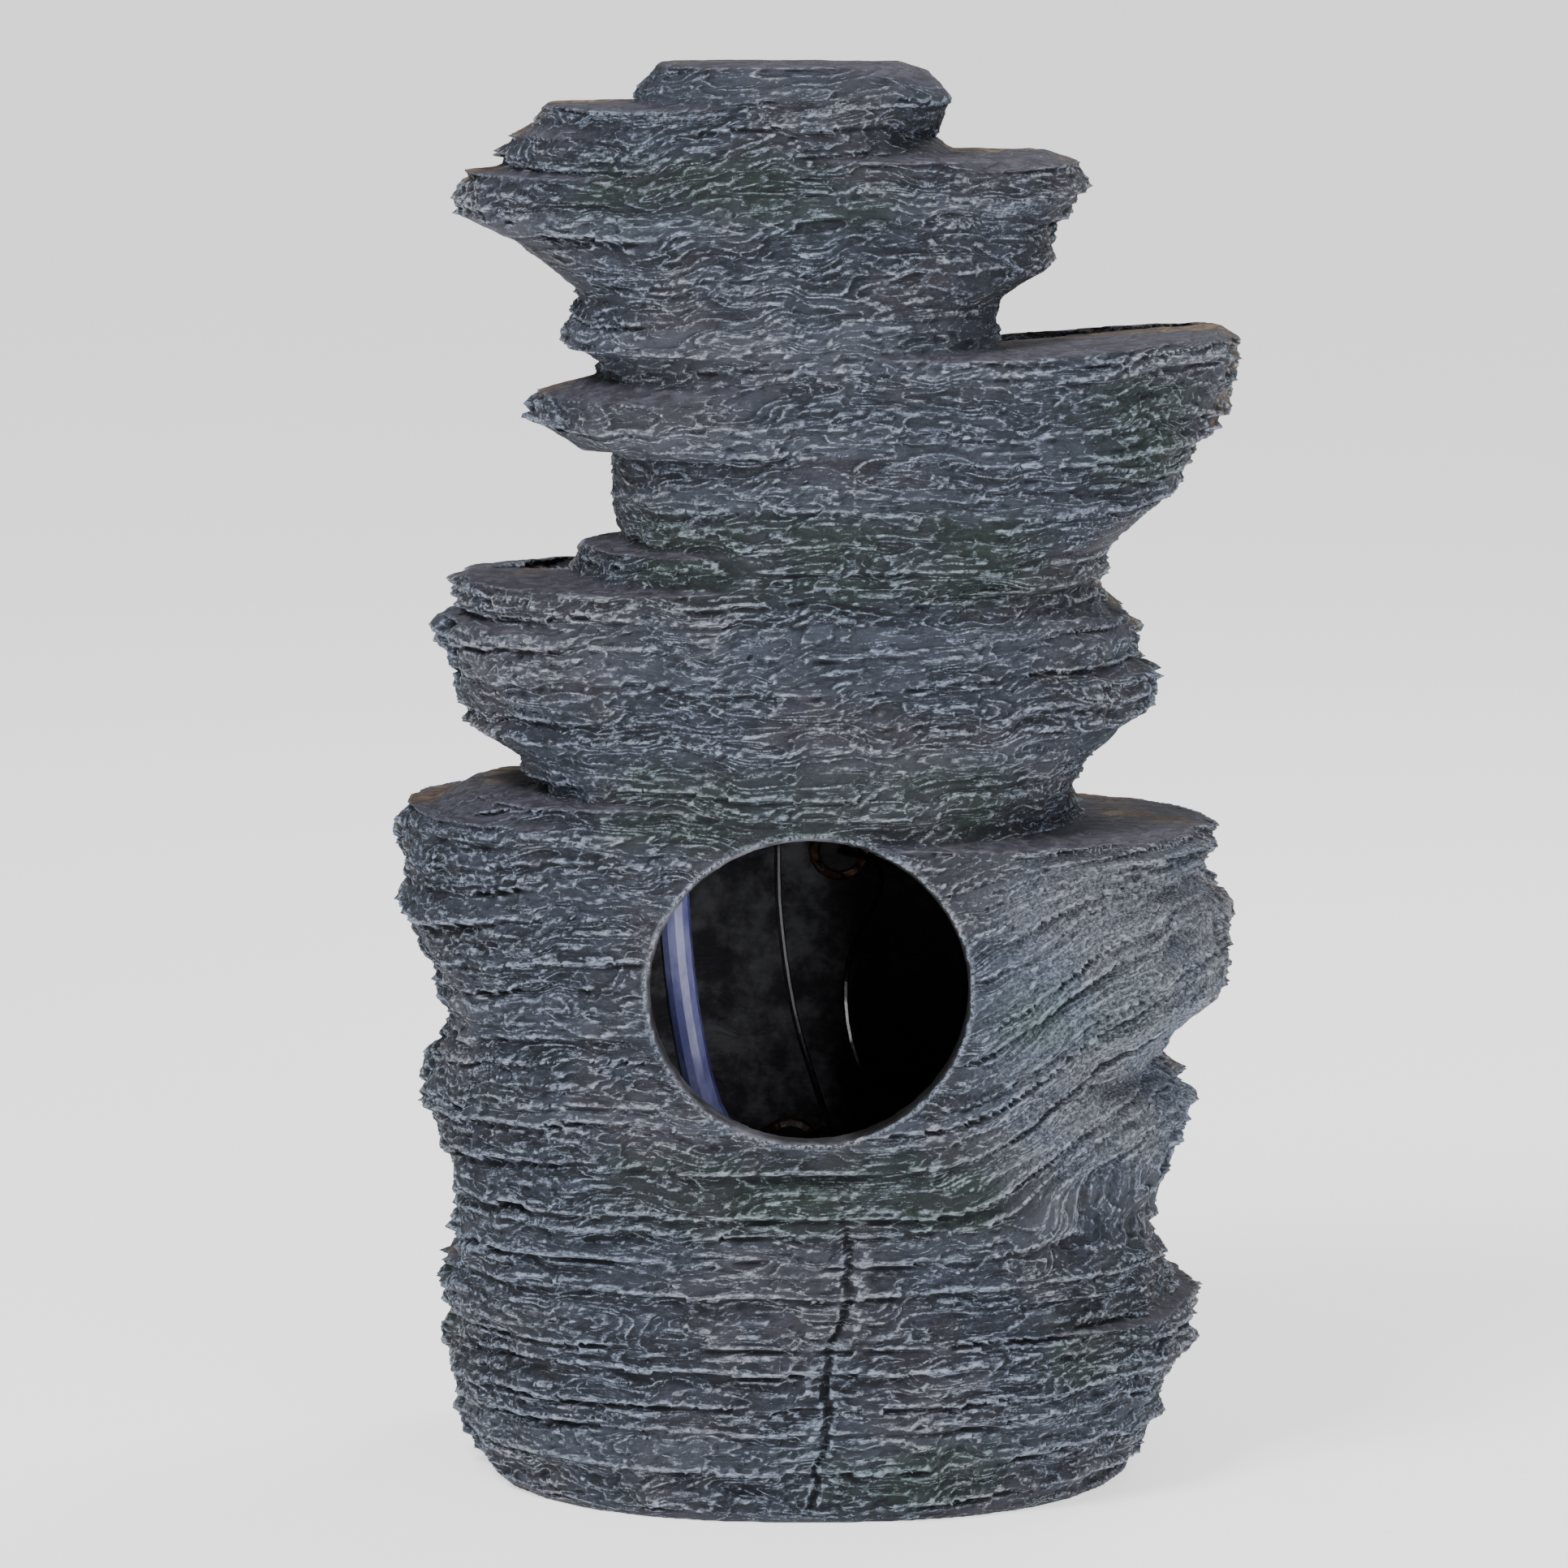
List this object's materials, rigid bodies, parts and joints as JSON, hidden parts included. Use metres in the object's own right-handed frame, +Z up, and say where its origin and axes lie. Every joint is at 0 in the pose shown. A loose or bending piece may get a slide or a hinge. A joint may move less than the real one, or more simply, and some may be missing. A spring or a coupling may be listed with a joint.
{
  "type": "tabletop water fountain",
  "caption": "Tabletop cascade fountain: a hollow slate-effect casting with stepped pools, a round service opening in its back, a submersible pump, riser hose and small LED pods.",
  "frame": {"origin": "centre of the outline's box on the standing surface", "axes": "+Z up, -Y out of the cascade side, +Y out of the plain back with the service opening"},
  "size_m": [0.2654, 0.2096, 0.4485],
  "materials": {
    "slate_resin": "matt cast resin painted as slate, with pale dry-brushed edges and green and rust tints",
    "black_plastic": "satin moulded",
    "dark_grey_plastic": "satin moulded",
    "clear_vinyl": "clear, blue-violet tint",
    "lead_rubber": "glossy black sheath",
    "spring_steel": "plain",
    "stator_iron": "laminated",
    "copper_winding": "enamelled wire",
    "ferrite_magnet": "sintered, matt",
    "ceramic": "polished",
    "soft_rubber": "matt",
    "filter_sponge": "open foam",
    "led_lens": "clear",
    "led_emitter": "moulded",
    "amber_sealant": "glossy cured bead"
  },
  "bodies": {
    "fountain": {"rock_shell_base": "slate_resin", "rock_shell_lower": "slate_resin", "rock_shell_middle": "slate_resin", "rock_shell_upper": "slate_resin", "pump_motor_housing": "black_plastic", "spout_fitting": "black_plastic", "led_pod_1": "black_plastic", "led_pod_2": "black_plastic", "led_pod_3": "black_plastic", "lead_junction_box": "black_plastic", "power_socket": "black_plastic", "impeller_chamber": "dark_grey_plastic", "motor_back_plate": "dark_grey_plastic", "spout_lock_nut": "dark_grey_plastic", "riser_hose": "clear_vinyl", "led_lead_1": "lead_rubber", "led_lead_2": "lead_rubber", "led_lead_3": "lead_rubber", "pump_lead": "lead_rubber", "socket_lead": "lead_rubber", "hose_clip_lower": "spring_steel", "hose_clip_upper": "spring_steel", "socket_pin": "spring_steel", "stator_core": "stator_iron", "stator_coil": "copper_winding", "rotor_pin": "ceramic", "inner_bush": "soft_rubber", "outer_bush": "soft_rubber", "chamber_seal": "soft_rubber", "suction_cup_1": "soft_rubber", "suction_cup_2": "soft_rubber", "suction_cup_3": "soft_rubber", "suction_cup_4": "soft_rubber", "pump_lead_gland": "soft_rubber", "spout_washer": "soft_rubber", "led_lens_1": "led_lens", "led_lens_2": "led_lens", "led_lens_3": "led_lens", "led_chip_1": "led_emitter", "led_chip_2": "led_emitter", "led_chip_3": "led_emitter", "led_sealant_1": "amber_sealant", "led_sealant_2": "amber_sealant", "led_sealant_3": "amber_sealant"},
    "rotor": {"rotor_magnet": "ferrite_magnet", "impeller": "dark_grey_plastic"},
    "strainer": {"intake_strainer": "black_plastic", "filter_sponge": "filter_sponge"},
    "dial": {"flow_dial": "dark_grey_plastic"}
  },
  "joints": [
    {"name": "rotor_spin", "type": "hinge", "parent": "fountain", "child": "rotor", "pos_m": [0.012, 0.022, 0.0356], "axis": [1, 0, 0], "continuous": true},
    {"name": "strainer_pull", "type": "slide", "parent": "fountain", "child": "strainer", "axis": [1, 0, 0], "range_m": [0, 0.03]},
    {"name": "dial_turn", "type": "hinge", "parent": "strainer", "child": "dial", "pos_m": [0.012, 0.022, 0.0356], "axis": [1, 0, 0], "range_deg": [0, 90]}
  ]
}
